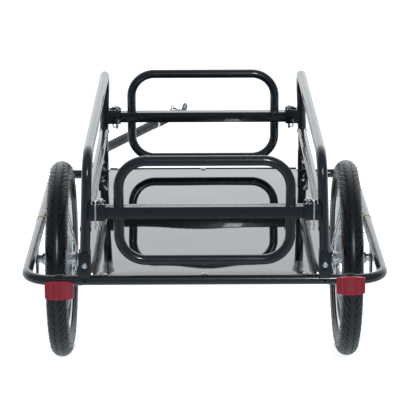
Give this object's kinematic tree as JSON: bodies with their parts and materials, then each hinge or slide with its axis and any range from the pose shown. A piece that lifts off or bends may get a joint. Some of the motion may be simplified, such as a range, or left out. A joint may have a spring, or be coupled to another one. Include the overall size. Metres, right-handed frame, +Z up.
{
  "type": "bicycle cargo trailer",
  "caption": "Flat steel tube cargo trailer for a bicycle, with folding side rails, lift-off gates, spoked wheels and a cranked tow arm.",
  "frame": {"origin": "on the ground under the middle of the bounding box, on the trailer's centre plane", "axes": "+Y in the direction of travel, +X to the right seen from behind, +Z up"},
  "size_m": [0.699, 1.3879, 0.5049],
  "materials": {
    "frame_paint": "gloss black powder coat",
    "deck_paint": "high gloss black",
    "black_casting": "satin black",
    "zinc": "bright zinc plate",
    "chrome_plate": "chrome plated steel",
    "rim_alloy": "polished",
    "spoke_steel": "bright",
    "tyre_rubber": "moulded tread",
    "tube_rubber": "smooth",
    "red_lens": "faceted reflector",
    "amber_lens": "faceted reflector",
    "amber_film": "reflective band",
    "black_plastic": "moulded"
  },
  "bodies": {
    "base": {"base_loop": "frame_paint", "inner_rails": "frame_paint", "cross_tube": "frame_paint", "deck": "deck_paint", "deck_bolts": "zinc", "outer_dropouts": "frame_paint", "inner_dropouts": "frame_paint", "axle_left": "zinc", "axle_right": "zinc", "axle_nuts": "zinc", "hinge_brackets": "frame_paint", "hinge_bolts": "zinc", "rear_reflector_left": "red_lens", "rear_reflector_right": "red_lens", "reflector_clamps": "black_plastic", "amber_bands": "amber_film", "tow_bracket": "frame_paint", "arm_bolt": "zinc"},
    "wheel_left": {"tyre_left": "tyre_rubber", "inner_tube_left": "tube_rubber", "rim_left": "rim_alloy", "hub_left": "chrome_plate", "spokes_left": "spoke_steel", "wheel_reflectors_left": "amber_lens"},
    "side_left": {"side_hoop_left": "frame_paint", "mid_rail_left": "frame_paint", "cradles_left": "frame_paint"},
    "wheel_right": {"tyre_right": "tyre_rubber", "inner_tube_right": "tube_rubber", "rim_right": "rim_alloy", "hub_right": "chrome_plate", "spokes_right": "spoke_steel", "wheel_reflectors_right": "amber_lens"},
    "side_right": {"side_hoop_right": "frame_paint", "mid_rail_right": "frame_paint", "cradles_right": "frame_paint"},
    "rear_gate": {"rear_crossbar": "frame_paint", "rear_gate_upper_hoop": "frame_paint", "rear_gate_lower_hoop": "frame_paint", "rear_crossbar_caps": "black_plastic"},
    "lock_pin_rear_left": {"lock_pin_rear_left": "zinc"},
    "bail_rear_left": {"bail_rear_left": "zinc"},
    "lock_pin_rear_right": {"lock_pin_rear_right": "zinc"},
    "bail_rear_right": {"bail_rear_right": "zinc"},
    "front_gate": {"front_crossbar": "frame_paint", "front_gate_upper_hoop": "frame_paint", "front_gate_lower_hoop": "frame_paint", "front_crossbar_caps": "black_plastic"},
    "lock_pin_front_left": {"lock_pin_front_left": "zinc"},
    "bail_front_left": {"bail_front_left": "zinc"},
    "lock_pin_front_right": {"lock_pin_front_right": "zinc"},
    "bail_front_right": {"bail_front_right": "zinc"},
    "tow_arm": {"tow_arm": "frame_paint", "arm_collar": "zinc", "arm_yoke": "black_plastic", "swivel_pin": "zinc"},
    "hitch_fork": {"hitch_fork": "black_casting", "hitch_pin": "zinc"},
    "coupler": {"coupler_plate": "chrome_plate"}
  },
  "joints": [
    {"name": "wheel_left_spin", "type": "hinge", "parent": "base", "child": "wheel_left", "pos_m": [-0.2865, -0.34044, 0.1975], "axis": [1, 0, 0], "continuous": true},
    {"name": "side_left_hinge", "type": "hinge", "parent": "base", "child": "side_left", "pos_m": [-0.221, -0.29994, 0.293], "axis": [0, 1, 0], "range_deg": [0, 1]},
    {"name": "wheel_right_spin", "type": "hinge", "parent": "base", "child": "wheel_right", "pos_m": [0.2865, -0.34044, 0.1975], "axis": [1, 0, 0], "continuous": true},
    {"name": "side_right_hinge", "type": "hinge", "parent": "base", "child": "side_right", "pos_m": [0.221, -0.29994, 0.293], "axis": [0, -1, 0], "range_deg": [0, 1]},
    {"name": "rear_gate_lift", "type": "slide", "parent": "base", "child": "rear_gate", "axis": [0, 0, 1], "range_m": [0, 0.25]},
    {"name": "lock_pin_rear_left_pull", "type": "slide", "parent": "rear_gate", "child": "lock_pin_rear_left", "axis": [0, 0, 1], "range_m": [0, 0.05]},
    {"name": "bail_rear_left_swing", "type": "hinge", "parent": "lock_pin_rear_left", "child": "bail_rear_left", "pos_m": [-0.1895, -0.67344, 0.4138], "axis": [-1, 0, 0], "range_deg": [0, 100]},
    {"name": "lock_pin_rear_right_pull", "type": "slide", "parent": "rear_gate", "child": "lock_pin_rear_right", "axis": [0, 0, 1], "range_m": [0, 0.05]},
    {"name": "bail_rear_right_swing", "type": "hinge", "parent": "lock_pin_rear_right", "child": "bail_rear_right", "pos_m": [0.1895, -0.67344, 0.4138], "axis": [-1, 0, 0], "range_deg": [0, 100]},
    {"name": "front_gate_lift", "type": "slide", "parent": "base", "child": "front_gate", "axis": [0, 0, 1], "range_m": [0, 0.25]},
    {"name": "lock_pin_front_left_pull", "type": "slide", "parent": "front_gate", "child": "lock_pin_front_left", "axis": [0, 0, 1], "range_m": [0, 0.05]},
    {"name": "bail_front_left_swing", "type": "hinge", "parent": "lock_pin_front_left", "child": "bail_front_left", "pos_m": [-0.1895, 0.07356, 0.4138], "axis": [1, 0, 0], "range_deg": [0, 100]},
    {"name": "lock_pin_front_right_pull", "type": "slide", "parent": "front_gate", "child": "lock_pin_front_right", "axis": [0, 0, 1], "range_m": [0, 0.05]},
    {"name": "bail_front_right_swing", "type": "hinge", "parent": "lock_pin_front_right", "child": "bail_front_right", "pos_m": [0.1895, 0.07356, 0.4138], "axis": [1, 0, 0], "range_deg": [0, 100]},
    {"name": "tow_arm_swing", "type": "hinge", "parent": "base", "child": "tow_arm", "pos_m": [-0.232, 0.10956, 0.262], "axis": [0, 0, -1], "range_deg": [0, 70]},
    {"name": "hitch_yaw", "type": "hinge", "parent": "tow_arm", "child": "hitch_fork", "pos_m": [-0.07255, 0.64206, 0.262], "axis": [0, 0, 1], "range_deg": [-50, 50]},
    {"name": "coupler_pitch", "type": "hinge", "parent": "hitch_fork", "child": "coupler", "pos_m": [-0.05782, 0.67381, 0.262], "axis": [0.907, -0.421, 0], "range_deg": [-45, 60]}
  ]
}
